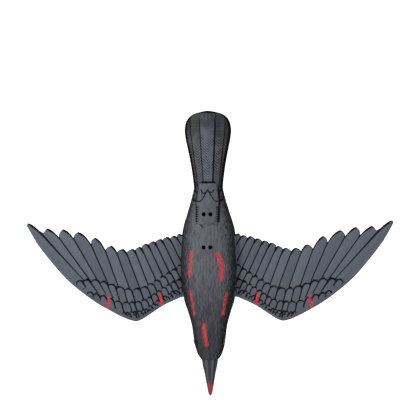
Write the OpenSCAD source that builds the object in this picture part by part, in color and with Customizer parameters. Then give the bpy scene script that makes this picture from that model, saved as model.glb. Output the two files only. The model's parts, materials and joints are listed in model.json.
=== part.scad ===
// Motion wing decoy: a hollow hanging bird whose two wings swing up on hinges and fall back level.
// X runs across the span and +X is the bird's own left. The beak points along -Y. +Z is up.
// The origin is on the crown of the back, midway between the two middle hang holes.

/* [Body] */
// Widest distance across the two shells
body_w = 88; // [84:1:92]
// Height of the back above the parting plane
back_h = 34; // [32:1:38]
// Depth of the belly below the parting plane
belly_h = 40; // [38:1:46]
// Wall thickness of both shells
wall = 2.2; // [1.8:0.1:2.4]

/* [Hang holes] */
// Diameter of each hole
hang_d = 6.4; // [5:0.2:7]
// Distance between the two holes of a pair
hang_pitch = 10; // [9:0.5:14]
// Distance from the middle pair back to the rump pair
hang_gap = 49; // [44:1:54]

/* [Wings] */
// Distance from the centre line to a wing tip
half_span = 276; // [240:2:310]
// Thickness of the wing at its root
wing_t = 3; // [2.6:0.1:3.2]
// Height of the arch in the middle of each wing
wing_arch = 6; // [0:0.5:10]
// Angle that a wing swings up from level
flap_up = 30; // [10:1:30]

/* [Hinge] */
// Distance from the centre line to each hinge pin
hinge_x = 30; // [29:0.5:30]
// Diameter of the hinge pins
pin_d = 3; // [2.6:0.1:3.2]

/* [Tail] */
// Distance from the origin to the tip of the tail
tail_tip = 204; // [180:2:220]
// Widest distance across the tail
tail_w = 70; // [60:1:80]
// Height of the crown along the middle of the tail
tail_crown = 9; // [6:0.5:11]

/* [Beak] */
// Length of the beak in front of the head
beak_len = 55; // [45:1:60]

/* [Hidden] */
$fn = 48;

// Shades of the moulded plastic and of the metal inside
plastic = [0.24, 0.25, 0.28];
wing_plastic = [0.3, 0.32, 0.36];
frame_plastic = [0.16, 0.16, 0.17];
zinc = [0.72, 0.73, 0.75];

// Cross-sections of the body: [y, share of half width, share of back height, share of belly depth]
BODY = [
    [-168, 0.295, 0.33, 0.26], [-164, 0.37, 0.40, 0.33], [-158, 0.44, 0.48, 0.40],
    [-146, 0.52, 0.59, 0.50], [-134, 0.56, 0.66, 0.57], [-116, 0.62, 0.74, 0.68],
    [-98, 0.735, 0.83, 0.80], [-80, 0.865, 0.92, 0.90], [-60, 0.955, 0.98, 0.97],
    [-35, 1, 1, 1], [0, 0.975, 1, 0.95], [28, 0.89, 0.91, 0.82], [49, 0.75, 0.76, 0.64],
    [64, 0.645, 0.60, 0.47], [76, 0.57, 0.42, 0.33], [88, 0.515, 0.235, 0.19], [100, 0.49, 0.17, 0.15]
];
head_y = -168;
rump_y = 88;
// The head takes closer rings than the rest, because it rounds off quickly
RING_Y = concat([for (y = [head_y : 4 : -144]) y], [for (y = [-134 : 10 : 76]) y], [82, rump_y]);
arc_steps = 21;

// Raised plate over the tail root: [y, half width, height above the back]
RUMP_PLATE = [
    [34, 15, 0.4], [40, 16.3, 0.7], [50, 16.5, 1], [70, 16.5, 1], [84, 14.5, 1], [96, 12.8, 1]
];
plate_in = 1.2;
plate_steps = 4;

// Beak sections in front of the head: [share of its length, half width, height up, depth down]
BEAK = [
    [0, 12.5, 10, 9], [0.15, 11.4, 9, 8], [0.36, 8.8, 7.4, 6], [0.58, 6.7, 5.8, 4.4],
    [0.8, 4.5, 4, 3], [0.92, 3.2, 2.8, 2.2], [0.99, 1.2, 1, 0.8]
];
beak_hook = 3;
beak_points = 16;
beak_gap = 0.3;
// Neck and flange that hold the beak in the head: [y, half width, height up, depth down]
BEAK_NECK = [
    [-159.5, 12.5, 10.2, 9], [-163, 12.5, 10.2, 9], [-163.1, 9.9, 8, 7], [-168.2, 9.9, 8, 7]
];

// Wing edges, measured out from the wing root and along Y for the base span
base_reach = 233;
wing_root_x = 43;
LEAD = [
    [0, -75], [25, -86.5], [43, -98], [57, -107], [66, -110.5], [74, -109.4], [86, -105],
    [100, -98], [131, -80], [169, -50], [196, -20], [219, 10], [233, 34]
];
TIPS = [
    [2, 20], [10, 17.5], [20, 16], [31, 12.5], [42, 9], [53, 5.5], [62, 1], [73, -2], [88, -2],
    [105, 3], [128, 15.5], [154, 24], [177, 28.5], [201, 30], [230, 38]
];
tip_end_y = 36;
notch_root = 2.5;
notch_tip = 9;
wing_taper = 0.3;
edge_drop = 0.6;
chord_steps = 6;

// Tail half width by share of its length behind the rump
TAIL = [
    [0, 0.62], [0.1, 0.65], [0.26, 0.72], [0.46, 0.84], [0.62, 0.95], [0.74, 1], [0.82, 0.97],
    [0.88, 0.9], [0.93, 0.76], [0.97, 0.52], [1, 0.1]
];
tail_gap = 0.4;
tail_y = rump_y + tail_gap;
tail_root_crown = 0.5;
tail_edge_z = 0.4;
tail_t = 2.8;
tail_steps = 10;
tongue_w = 32;
tongue_t = 3.2;
tongue_y = 60;
tongue_gap = 0.2;

// Hinge: two knuckles on each leaf, each between two lugs of the frame
KNUCKLE_Y = [-52, -4];
knuckle_len = 20;
knuckle_r = 3.2;
lug_len = 5;
lug_r = 4;
end_gap = 0.5;
lug_bore_r = pin_d / 2 + 0.02;
knuckle_bore_r = pin_d / 2 + 0.05;
lug_offset = knuckle_len / 2 + end_gap + lug_len / 2;
lugs_front = KNUCKLE_Y[0] - lug_offset - lug_len / 2;
lugs_back = KNUCKLE_Y[1] + lug_offset + lug_len / 2;
pin_over = 3.5;
pin_front = lugs_front - pin_over;
pin_len = lugs_back - lugs_front + 2 * pin_over;
clip_t = 1.2;
clip_gap = 0.3;
clip_r = 3.4;
leaf_t = 1.2;
leaf_in = lug_r + end_gap;
lap_in = leaf_in + 0.5;
LEAF_Y = [-66, 10];
rivet_in = 7.7;
RIVETS = [for (y = [-58 : 20 : 2]) [hinge_x + rivet_in, y]];
rivet_r = 1.25;
rivet_head_r = 2.1;
rivet_head_h = 0.8;

// Slots through which the wings enter the body
SLOT_Y = [-76, 20.5];
slot_play = 1.5;
stop_gap = 0.3;
lip_gap = 0.7;
lip_x = body_w / 2 - 1.5;
slot_low = wing_t / 2 + stop_gap;
slot_high = (lip_x - hinge_x) * tan(flap_up) + wing_t / 2 / cos(flap_up) + lip_gap;

// Frame that carries both hinges
frame_top = -9;
frame_t = 3;
frame_half = hinge_x + lug_r;
rail_w = 9;
bar_w = 9;
FRAME_Y = [-70, 14];
FRAME_SCREWS = [[-14, -62], [14, -62], [-14, 6], [14, 6]];

// Screws: a clear hole, a pilot hole, a pan head and a well for it
screw_r = 1.2;
screw_clear_r = 1.6;
screw_pilot_r = 1.25;
screw_head_r = 2.8;
screw_head_h = 1.8;
well_r = 3.2;
boss_r = 4.6;
SHELL_SCREWS = [[-14, -130], [14, -130], [-25, -90], [25, -90], [-26, 34], [26, 34]];
TAIL_SCREWS = [[-9, 71], [9, 71]];
well_floor = -7;
pilot_depth = 8;
shell_screw_len = pilot_depth - well_floor - 1;
frame_screw_len = 14;
frame_pilot = frame_screw_len + 1;

// Eyes
eye_y = -141;
eye_z = 7;
eye_r = 4.2;
eye_rise = 1;
eye_stem_r = 2;
eye_stem_len = 4;
eye_stem_gap = 0.05;

// Depth of the thickened wall around each hang hole
hang_boss_depth = 6;
hang_boss_r = hang_pitch / 2 + 0.6;

part_z = -back_h;
// How far a cut runs past the surface that it opens, and a length beyond the whole body
over = 1;
far = 200;

// Smooth curve through the rows of a table: the value in column c at position p
function row_at(t, p, i = 0) = i >= len(t) - 2 || p <= t[i + 1][0] ? i : row_at(t, p, i + 1);
function slope_at(t, i, c) =
    let (a = max(i - 1, 0), b = min(i + 1, len(t) - 1)) (t[b][c] - t[a][c]) / (t[b][0] - t[a][0]);
function smooth(t, p, c) =
    let (
        i = row_at(t, p),
        h = t[i + 1][0] - t[i][0],
        u = (p - t[i][0]) / h,
        u2 = u * u,
        u3 = u2 * u
    )
    t[i][c] * (2 * u3 - 3 * u2 + 1) + t[i + 1][c] * (3 * u2 - 2 * u3)
        + h * slope_at(t, i, c) * (u3 - 2 * u2 + u) + h * slope_at(t, i + 1, c) * (u3 - u2);

function half_width(y) = body_w / 2 * smooth(BODY, y, 1);
function back_height(y) = back_h * smooth(BODY, y, 2);
function back_skin(x, y) = back_height(y) * sqrt(max(0, 1 - pow(x / half_width(y), 2)));

// A closed skin over rings that all have the same even number of points, where point j of a
// ring lies across from point n - 1 - j, so that each end closes with a strip of triangles
module loft(rings) {
    n = len(rings[0]);
    last = (len(rings) - 1) * n;
    sides = [
        for (i = [0 : len(rings) - 2], j = [0 : n - 1])
            let (k = (j + 1) % n, a = i * n + j, b = i * n + k)
            each [[a, b, b + n], [a, b + n, a + n]]
    ];
    front = [for (j = [0 : n / 2 - 2]) let (k = n - 1 - j) each [[j + 1, j, k], [j + 1, k, k - 1]]];
    back = [for (f = front) [last + f[0], last + f[2], last + f[1]]];
    polyhedron(points = [for (r = rings) each r], faces = concat(front, back, sides), convexity = 6);
}

// Half of the body: a wall between an outer and an inner arch, open at both ends
function arch(w, h, y) =
    [for (i = [0 : arc_steps]) let (a = 180 * i / arc_steps) [w * cos(a), y, h * sin(a)]];
function reversed(list) = [for (i = [len(list) - 1 : -1 : 0]) list[i]];
module half_shell(height_column, height) {
    loft([
        for (y = RING_Y)
            let (w = half_width(y), h = height * smooth(BODY, y, height_column))
            concat(arch(w, h, y), reversed(arch(w - wall, h - wall, y)))
    ]);
}
// The same half filled solid and a little smaller, to trim the bosses to the skin
module half_fill(height_column, height) {
    loft([
        for (y = RING_Y)
            let (w = half_width(y) - wall / 2, h = height * smooth(BODY, y, height_column) - wall / 2)
            arch(w, h, y)
    ]);
}

module at_each(places) {
    for (p = places) {
        translate([p[0], p[1], 0]) children();
    }
}

// A hole right through whatever lies on the parting plane
module drill(r) {
    translate([0, 0, -far]) cylinder(r = r, h = 2 * far);
}

module mirrored() {
    children();
    mirror([1, 0, 0]) children();
}

// A pan-head screw with its head's underside at z = 0 and its shank along +Z
module screw(length) {
    cylinder(r = screw_r, h = length);
    translate([0, 0, -screw_head_h]) cylinder(r = screw_head_r, h = screw_head_h);
}

module wing_slots() {
    mirrored() {
        translate([hinge_x - lug_r, SLOT_Y[0], -slot_low])
            cube([body_w, SLOT_Y[1] - SLOT_Y[0], slot_low + slot_high]);
    }
}

module at_hang_holes() {
    for (y = [0, hang_gap], x = [-hang_pitch / 2, hang_pitch / 2]) {
        translate([x, y, back_height(y)]) children();
    }
}

// Wall that closes the rear of a shell around the tail's tongue
module rear_wall() {
    translate([-far / 2, rump_y - wall, -far / 2]) cube([far, wall, far]);
}
module tongue_slot() {
    width = tongue_w + 2 * tongue_gap;
    height = tongue_t + 2 * tongue_gap;
    translate([-width / 2, rump_y - wall - over, -height / 2]) cube([width, wall + 2 * over, height]);
}

module rump_plate() {
    loft([
        for (row = RUMP_PLATE)
            let (y = row[0], xs = [for (i = [-plate_steps : plate_steps]) row[1] * i / plate_steps])
            concat(
                [for (x = xs) [-x, y, back_skin(x, y) + row[2]]],
                [for (x = xs) [x, y, back_skin(x, y) - plate_in]]
            )
    ]);
}

// Frame with its Z along the outward direction of an eye
module at_eye() {
    w = half_width(eye_y);
    x = w * sqrt(1 - pow(eye_z / back_height(eye_y), 2));
    tilt = atan2(eye_z / pow(back_height(eye_y), 2), x / pow(w, 2));
    narrowing = atan((half_width(eye_y + over) - half_width(eye_y - over)) / (2 * over));
    translate([x, eye_y, eye_z]) rotate([0, 0, -narrowing]) rotate([0, 90 - tilt, 0]) children();
}

module back_shell_body() {
    difference() {
        union() {
            half_shell(2, back_h);
            rump_plate();
            intersection() {
                half_fill(2, back_h);
                union() {
                    at_each(SHELL_SCREWS) cylinder(r = boss_r, h = far);
                    translate([0, 0, tongue_t / 2 + tongue_gap])
                        at_each(TAIL_SCREWS) cylinder(r = boss_r, h = far);
                    at_hang_holes() translate([0, 0, -hang_boss_depth])
                        cylinder(r = hang_boss_r, h = hang_boss_depth);
                    rear_wall();
                }
            }
        }
        wing_slots();
        tongue_slot();
        at_each(concat(SHELL_SCREWS, TAIL_SCREWS)) {
            translate([0, 0, -over]) cylinder(r = screw_pilot_r, h = pilot_depth + over);
        }
        at_hang_holes() translate([0, 0, -2 * hang_boss_depth]) cylinder(d = hang_d, h = 4 * hang_boss_depth);
        mirrored() at_eye() {
            translate([0, 0, -2 * eye_stem_len]) cylinder(r = eye_stem_r, h = 4 * eye_stem_len);
        }
    }
}

module back_shell() {
    color(plastic) translate([0, 0, part_z]) back_shell_body();
}

module belly_bosses() {
    translate([0, 0, -far]) {
        at_each(SHELL_SCREWS) cylinder(r = boss_r, h = far);
        at_each(TAIL_SCREWS) cylinder(r = boss_r, h = far - tongue_t / 2 - tongue_gap);
        at_each(FRAME_SCREWS) cylinder(r = boss_r, h = far + frame_top - frame_t);
    }
}

module belly_shell_body() {
    difference() {
        union() {
            mirror([0, 0, 1]) half_shell(3, belly_h);
            intersection() {
                mirror([0, 0, 1]) half_fill(3, belly_h);
                union() {
                    belly_bosses();
                    rear_wall();
                }
            }
        }
        wing_slots();
        tongue_slot();
        at_each(concat(SHELL_SCREWS, TAIL_SCREWS)) {
            translate([0, 0, -far]) cylinder(r = well_r, h = far + well_floor);
            drill(screw_clear_r);
        }
        at_each(FRAME_SCREWS) {
            translate([0, 0, frame_top - frame_pilot]) cylinder(r = screw_pilot_r, h = frame_pilot);
        }
    }
}

module belly_shell() {
    color(plastic) translate([0, 0, part_z]) belly_shell_body();
}

// Oval ring across the beak, lower at the tip
function beak_ring(y, w, up, down) =
    let (drop = beak_hook * pow(max(0, (head_y - y) / beak_len), 2))
    [
        for (i = [0 : beak_points - 1])
            let (a = 360 * i / beak_points) [w * cos(a), y, (sin(a) > 0 ? up : down) * sin(a) - drop]
    ];

module beak() {
    rows = concat(
        BEAK_NECK,
        [for (b = BEAK) [head_y - beak_gap - (beak_len - beak_gap) * b[0], b[1], b[2], b[3]]]
    );
    color(plastic) translate([0, 0, part_z])
        loft(reversed([for (r = rows) beak_ring(r[0], r[1], r[2], r[3])]));
}

module eye() {
    dome_r = (eye_r * eye_r + eye_rise * eye_rise) / (2 * eye_rise);
    intersection() {
        cylinder(r = eye_r, h = eye_rise);
        translate([0, 0, eye_rise - dome_r]) sphere(r = dome_r);
    }
    translate([0, 0, -eye_stem_len]) cylinder(r = eye_stem_r - eye_stem_gap, h = eye_stem_len + eye_rise / 2);
}

module left_eye() {
    color("black") translate([0, 0, part_z]) at_eye() eye();
}

module right_eye() {
    mirror([1, 0, 0]) left_eye();
}

module tail_blade() {
    blade_len = tail_tip - tail_y;
    loft([
        for (row = TAIL)
            let (
                y = tail_y + blade_len * row[0],
                w = tail_w / 2 * row[1],
                rise = tail_root_crown + (1 - tail_root_crown) * min(1, 2 * row[0]),
                crown = tail_crown * rise * min(1, 1.3 * row[1]),
                xs = [for (i = [-tail_steps / 2 : tail_steps / 2]) 2 * i / tail_steps]
            )
            concat(
                [for (s = xs) [-s * w, y, tail_edge_z + crown * (1 - s * s)]],
                [for (s = xs) [s * w, y, tail_edge_z + crown * (1 - s * s) - tail_t]]
            )
    ]);
}

module tail_fan() {
    color(plastic) translate([0, 0, part_z]) {
        difference() {
            union() {
                tail_blade();
                translate([-tongue_w / 2, tongue_y, -tongue_t / 2])
                    cube([tongue_w, tail_y - tongue_y + 2, tongue_t]);
            }
            at_each(TAIL_SCREWS) drill(screw_clear_r);
        }
    }
}

module tail_screws() {
    color(zinc) translate([0, 0, part_z + well_floor]) at_each(TAIL_SCREWS) screw(shell_screw_len);
}

module shell_screws() {
    color(zinc) translate([0, 0, part_z + well_floor]) at_each(SHELL_SCREWS) screw(shell_screw_len);
}

// An outline across the hinge axis, extruded along the axis from y
module along_pin(y, length) {
    translate([hinge_x, y + length, 0]) rotate([90, 0, 0]) linear_extrude(length) children();
}

module lugs() {
    for (k = KNUCKLE_Y, side = [-1, 1]) {
        along_pin(k + side * lug_offset - lug_len / 2, lug_len) {
            circle(r = lug_r);
            translate([-lug_r, frame_top - over]) square([2 * lug_r, over - frame_top]);
        }
    }
}

module hinge_frame() {
    length = FRAME_Y[1] - FRAME_Y[0];
    color(frame_plastic) translate([0, 0, part_z]) difference() {
        union() {
            translate([-frame_half, FRAME_Y[0], frame_top - frame_t]) cube([2 * frame_half, length, frame_t]);
            mirrored() lugs();
        }
        // Two windows leave a rail along each side and three cross bars
        for (i = [0, 1]) {
            window = (length - 3 * bar_w) / 2;
            translate([-frame_half + rail_w, FRAME_Y[0] + bar_w + i * (window + bar_w), -far])
                cube([2 * (frame_half - rail_w), window, 2 * far]);
        }
        at_each(FRAME_SCREWS) drill(screw_clear_r);
        mirrored() along_pin(pin_front, pin_len) circle(r = lug_bore_r);
    }
}

module frame_screws() {
    color(zinc) translate([0, 0, part_z + frame_top])
        mirror([0, 0, 1]) at_each(FRAME_SCREWS) screw(frame_screw_len);
}

module left_hinge_pin() {
    color(zinc) translate([0, 0, part_z]) along_pin(pin_front, pin_len) circle(d = pin_d);
}

module right_hinge_pin() {
    mirror([1, 0, 0]) left_hinge_pin();
}

module left_pin_clips() {
    color(zinc) translate([0, 0, part_z]) {
        for (y = [lugs_front - clip_gap - clip_t, lugs_back + clip_gap]) {
            along_pin(y, clip_t) difference() {
                circle(r = clip_r);
                circle(d = pin_d);
            }
        }
    }
}

module right_pin_clips() {
    mirror([1, 0, 0]) left_pin_clips();
}

module left_hinge_leaf() {
    color(zinc) translate([0, 0, part_z]) difference() {
        union() {
            for (k = KNUCKLE_Y) {
                along_pin(k - knuckle_len / 2, knuckle_len) {
                    circle(r = knuckle_r);
                    translate([0, -wing_t / 2]) square([leaf_in + over, leaf_t]);
                }
            }
            translate([hinge_x + leaf_in, LEAF_Y[0], -wing_t / 2])
                cube([wing_root_x - hinge_x - leaf_in, LEAF_Y[1] - LEAF_Y[0], leaf_t]);
        }
        along_pin(pin_front, pin_len) circle(r = knuckle_bore_r);
        at_each(RIVETS) drill(rivet_r);
    }
}

module right_hinge_leaf() {
    mirror([1, 0, 0]) left_hinge_leaf();
}

// Rivets with a pan head on top and peened flush below
module left_leaf_rivets() {
    color(zinc) translate([0, 0, part_z]) at_each(RIVETS) {
        translate([0, 0, -wing_t / 2]) cylinder(r = rivet_r, h = wing_t);
        translate([0, 0, wing_t / 2]) cylinder(r = rivet_head_r, h = rivet_head_h);
    }
}

module right_leaf_rivets() {
    mirror([1, 0, 0]) left_leaf_rivets();
}

// Trailing edge: each feather tip is followed by the notch before the next one
function notch(a, b) =
    let (depth = notch_root + (notch_tip - notch_root) * (a[0] + b[0]) / 2 / base_reach)
    [(a[0] + b[0]) / 2, min(a[1], b[1]) + abs(a[1] - b[1]) / 2 - depth];
TRAIL = concat(
    [[0, TIPS[0][1] - 1]],
    [for (i = [0 : len(TIPS) - 2]) each [TIPS[i], notch(TIPS[i], TIPS[i + 1])]],
    [TIPS[len(TIPS) - 1], [base_reach, tip_end_y]]
);

// Height of the wing's middle surface: flat at the root and the tip, arched between them
function wing_rise(share, u) = wing_arch * sin(180 * share) * (1 - edge_drop * pow(2 * u - 1, 2));

module wing_blade() {
    loft([
        for (p = TRAIL)
            let (
                share = p[0] / base_reach,
                x = wing_root_x + share * (half_span - wing_root_x),
                lead = smooth(LEAD, p[0], 1),
                t = wing_t * (1 - wing_taper * share),
                us = [for (j = [0 : chord_steps]) j / chord_steps]
            )
            concat(
                [for (u = us) [x, lead + (p[1] - lead) * u, wing_rise(share, u) + t / 2]],
                [for (u = reversed(us)) [x, lead + (p[1] - lead) * u, wing_rise(share, u) - t / 2]]
            )
    ]);
}

module left_wing() {
    lap_z = leaf_t - wing_t / 2;
    color(wing_plastic) translate([0, 0, part_z]) difference() {
        union() {
            wing_blade();
            translate([hinge_x + lap_in, SLOT_Y[0] + slot_play, lap_z]) cube([
                wing_root_x + over - hinge_x - lap_in,
                SLOT_Y[1] - SLOT_Y[0] - 2 * slot_play,
                wing_t / 2 - lap_z
            ]);
        }
        at_each(RIVETS) drill(rivet_r);
    }
}

module right_wing() {
    mirror([1, 0, 0]) left_wing();
}

back_shell();
belly_shell();
beak();
left_eye();
right_eye();
tail_fan();
tail_screws();
shell_screws();
hinge_frame();
frame_screws();
left_hinge_pin();
right_hinge_pin();
left_pin_clips();
right_pin_clips();
left_hinge_leaf();
right_hinge_leaf();
left_leaf_rivets();
right_leaf_rivets();
left_wing();
right_wing();
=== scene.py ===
import json

import bmesh
import bpy
import numpy as np
from mathutils import Matrix, Vector, kdtree, noise


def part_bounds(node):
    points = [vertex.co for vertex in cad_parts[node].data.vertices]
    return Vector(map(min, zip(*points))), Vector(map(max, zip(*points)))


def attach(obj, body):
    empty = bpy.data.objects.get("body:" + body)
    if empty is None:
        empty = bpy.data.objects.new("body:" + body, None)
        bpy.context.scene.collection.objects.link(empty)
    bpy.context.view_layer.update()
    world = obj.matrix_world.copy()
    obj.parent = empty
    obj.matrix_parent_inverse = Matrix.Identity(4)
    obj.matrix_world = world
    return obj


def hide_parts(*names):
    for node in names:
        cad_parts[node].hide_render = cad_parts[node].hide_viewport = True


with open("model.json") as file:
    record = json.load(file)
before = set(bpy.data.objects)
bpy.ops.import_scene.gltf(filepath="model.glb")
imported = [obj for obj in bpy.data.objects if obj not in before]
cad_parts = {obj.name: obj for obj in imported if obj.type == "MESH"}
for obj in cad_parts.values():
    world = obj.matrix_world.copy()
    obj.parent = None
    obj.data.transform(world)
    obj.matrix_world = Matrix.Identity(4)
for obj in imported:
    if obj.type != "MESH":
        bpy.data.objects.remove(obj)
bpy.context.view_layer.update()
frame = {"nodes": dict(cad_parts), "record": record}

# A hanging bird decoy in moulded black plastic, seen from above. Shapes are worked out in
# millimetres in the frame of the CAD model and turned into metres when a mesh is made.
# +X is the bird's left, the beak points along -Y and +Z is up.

MM = 0.001
RNG = np.random.default_rng(7)

# ---------------- sizes shared with the CAD

# The shells part at PART_Z and the top of the back is at zero
PART_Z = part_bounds("belly_shell")[1].z / MM
BACK_H = -PART_Z
BELLY_H = PART_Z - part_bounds("belly_shell")[0].z / MM
HALF_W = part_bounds("belly_shell")[1].x / MM
HEAD_Y = -168.0
RUMP_Y = 88.0

# [y, share of half width, share of back height, share of belly depth]
BODY = [
    [-168, 0.295, 0.33, 0.26], [-164, 0.37, 0.40, 0.33], [-158, 0.44, 0.48, 0.40],
    [-146, 0.52, 0.59, 0.50], [-134, 0.56, 0.66, 0.57], [-116, 0.62, 0.74, 0.68],
    [-98, 0.735, 0.83, 0.80], [-80, 0.865, 0.92, 0.90], [-60, 0.955, 0.98, 0.97],
    [-35, 1, 1, 1], [0, 0.975, 1, 0.95], [28, 0.89, 0.91, 0.82], [49, 0.75, 0.76, 0.64],
    [64, 0.645, 0.60, 0.47], [76, 0.57, 0.42, 0.33], [88, 0.515, 0.235, 0.19],
    [100, 0.49, 0.17, 0.15],
]

ROOT_X = 43.0
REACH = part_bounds("left_wing")[1].x / MM - ROOT_X
# The wing's middle surface arches up by WING_ARCH, and by this share less at its two edges
WING_ARCH = 6.0
EDGE_DROP = 0.6
# Leading edge and flight feather tips: [distance out from the wing root, y]
LEAD = [
    [0, -75], [25, -86.5], [43, -98], [57, -107], [66, -110.5], [74, -109.4], [86, -105],
    [100, -98], [131, -80], [169, -50], [196, -20], [219, 10], [233, 34],
]
TIPS = [
    [2, 20], [10, 17.5], [20, 16], [31, 12.5], [42, 9], [53, 5.5], [62, 1], [73, -2], [88, -2],
    [105, 3], [128, 15.5], [154, 24], [177, 28.5], [201, 30], [230, 38],
]

TAIL_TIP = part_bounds("tail_fan")[1].y / MM
TAIL_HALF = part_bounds("tail_fan")[1].x / MM


def smooth(table, p, column):
    """The CAD's smooth curve through the rows of a table."""
    rows = np.array(table, float)
    t = rows[:, 0]
    c = rows[:, column]
    slope = np.gradient(c, t)
    slope[1:-1] = (c[2:] - c[:-2]) / (t[2:] - t[:-2])
    p = np.clip(p, t[0], t[-1])
    i = np.clip(np.searchsorted(t, p, side="left") - 1, 0, len(t) - 2)
    h = t[i + 1] - t[i]
    u = (p - t[i]) / h
    rise = u * u * (3 - 2 * u)
    return (
        c[i] * (1 - rise) + c[i + 1] * rise
        + h * slope[i] * (u ** 3 - 2 * u * u + u) + h * slope[i + 1] * (u ** 3 - u * u)
    )


def step(low, high, value):
    """0 below low, 1 above high, smooth between."""
    u = np.clip((value - low) / (high - low), 0, 1)
    return u * u * (3 - 2 * u)


def ridge(distance, width):
    """1 at no distance, falling smoothly away to nothing past twice the width."""
    return np.exp(-(distance / width) ** 2)


# ---------------- meshes

# Each point of a relief piece carries these, for its material to read. The materials darken what
# is near in edge_mm with ink and painted shade, and paint what is near in paint_mm, so
# NO_PAINT is far from any stroke.
FIELDS = ("edge_mm", "along_mm", "across_mm", "tone", "paint_mm")
NO_PAINT = 9.0


def place_object(name, data):
    """A new object in the scene that shows a mesh, a light or a camera."""
    obj = bpy.data.objects.new(name, data)
    bpy.context.scene.collection.objects.link(obj)
    return obj


def make_object(name, points, faces, fields=None):
    """A mesh object from points in millimetres."""
    mesh = bpy.data.meshes.new(name)
    mesh.from_pydata((np.asarray(points) * MM).tolist(), [], faces)
    mesh.update()
    obj = place_object(name, mesh)
    if fields:
        write_fields(obj, fields)
    return obj


def write_fields(obj, fields):
    """Stores values at each point of a mesh, under their names."""
    for name, values in fields.items():
        layer = obj.data.attributes.get(name) or obj.data.attributes.new(name, "FLOAT", "POINT")
        layer.data.foreach_set("value", np.asarray(values, np.float32))


def as_points(x, y, z):
    """A list of points from grids of their coordinates."""
    return np.stack([x, y, z], -1).reshape(-1, 3)


def points_of(obj):
    """The points of a mesh, in millimetres."""
    co = np.empty(len(obj.data.vertices) * 3)
    obj.data.vertices.foreach_get("co", co)
    return co.reshape(-1, 3) / MM


def slab_faces(rows, cols):
    """Faces of a closed slab: a top grid of points, then a bottom grid of the same size."""
    index = np.arange(rows * cols).reshape(rows, cols)
    a, b = index[:-1, :-1].ravel(), index[:-1, 1:].ravel()
    c, d = index[1:, 1:].ravel(), index[1:, :-1].ravel()
    low = rows * cols
    rim = np.concatenate([index[0, :], index[1:, -1], index[-1, -2::-1], index[-2:0:-1, 0]])
    turn = np.roll(rim, -1)
    parts = [
        np.stack([a, b, c, d], 1),
        np.stack([a, d, c, b], 1) + low,
        np.stack([turn, rim, rim + low, turn + low], 1),
    ]
    return np.concatenate(parts).tolist()


def slab(name, x, y, heights, fields):
    """A closed slab between two heights over a grid of places.

    The first height is the upper one where x grows along the columns and y along the rows,
    and the lower one where the two are swapped or one of them falls. A field is one grid for
    both faces, or a pair.
    """
    points = np.concatenate([as_points(x, y, height) for height in heights])
    pairs = {n: v if isinstance(v, tuple) else (v, v) for n, v in fields.items()}
    flat = {n: np.concatenate([a.ravel(), b.ravel()]) for n, (a, b) in pairs.items()}
    return make_object(name, points, slab_faces(*x.shape), flat)


def combine(first, second, operation):
    """A boolean of two closed meshes, as a mesh in the first object. The second is used up."""
    modifier = first.modifiers.new("combine", "BOOLEAN")
    modifier.operation = operation
    modifier.solver = "MANIFOLD"
    modifier.object = second
    depsgraph = bpy.context.evaluated_depsgraph_get()
    result = bpy.data.meshes.new_from_object(first.evaluated_get(depsgraph))
    first.modifiers.clear()
    old = first.data
    first.data = result
    bpy.data.meshes.remove(old)
    remove(second)
    return first


def remove(obj):
    """Deletes an object and its mesh."""
    mesh = obj.data
    bpy.data.objects.remove(obj)
    bpy.data.meshes.remove(mesh)


def fuse(name, objects):
    """One closed mesh from many overlapping ones, joined two by two."""
    while len(objects) > 1:
        pairs = [combine(a, b, "UNION") for a, b in zip(objects[::2], objects[1::2])]
        objects = pairs + objects[len(pairs) * 2:]
    objects[0].name = name
    return objects[0]


def copy_node(node):
    """A copy of a CAD node, welded into a closed mesh, to work on."""
    obj = place_object(node + "_copy", frame["nodes"][node].data.copy())
    obj.data.materials.clear()
    weld(obj)
    return obj


WELD_MM = 0.002


def weld(obj):
    """Joins points that lie together and removes the slivers that this leaves."""
    bm = bmesh.new()
    bm.from_mesh(obj.data)
    bmesh.ops.remove_doubles(bm, verts=bm.verts, dist=WELD_MM * MM)
    bmesh.ops.dissolve_degenerate(bm, edges=bm.edges, dist=WELD_MM * MM / 10)
    bm.to_mesh(obj.data)
    bm.free()


def mirror_copy(obj, name):
    """The same piece on the other side of the bird."""
    mesh = obj.data.copy()
    mesh.transform(Matrix.Diagonal((-1, 1, 1, 1)))
    mesh.flip_normals()
    return place_object(name, mesh)


def box_object(low, high):
    """A box between two corners, in millimetres."""
    points = [
        (x, y, z)
        for z in (high[2], low[2]) for y in (low[1], high[1]) for x in (low[0], high[0])
    ]
    return make_object("box", points, slab_faces(2, 2))


def part_box(x_low, x_high, y_low, y_high):
    """A box about the parting plane, tall enough to cut right through any piece."""
    tall = 30
    return box_object((x_low, y_low, PART_Z - tall), (x_high, y_high, PART_Z + tall))


def finish_piece(obj, body, material, nodes, sharp):
    """Shading, which keeps edges past an angle sharp, material and place of a finished piece."""
    obj.data.shade_smooth()
    obj.data.set_sharp_from_angle(angle=np.radians(sharp))
    obj.data.materials.clear()
    obj.data.materials.append(material)
    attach(obj, body)
    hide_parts(*nodes)


def stroke_distance(x, y, strokes):
    """Distance outside the nearest painted stroke, each [x, y, x, y, width]."""
    nearest = np.full(np.shape(x), NO_PAINT)
    for ax, ay, bx, by, width in strokes:
        dx, dy = bx - ax, by - ay
        t = np.clip(((x - ax) * dx + (y - ay) * dy) / (dx * dx + dy * dy), 0, 1)
        away = np.hypot(x - ax - t * dx, y - ay - t * dy) - width / 2
        nearest = np.minimum(nearest, away)
    return nearest


def noise_field(points, size, seed=0):
    """Smooth noise from -1 to 1 over points in mm, size being its grain along each axis."""
    scaled = points / np.asarray(size, float) + seed * 17.3
    return np.array([noise.noise(p) for p in scaled.tolist()])


# ---------------- feathers

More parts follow.
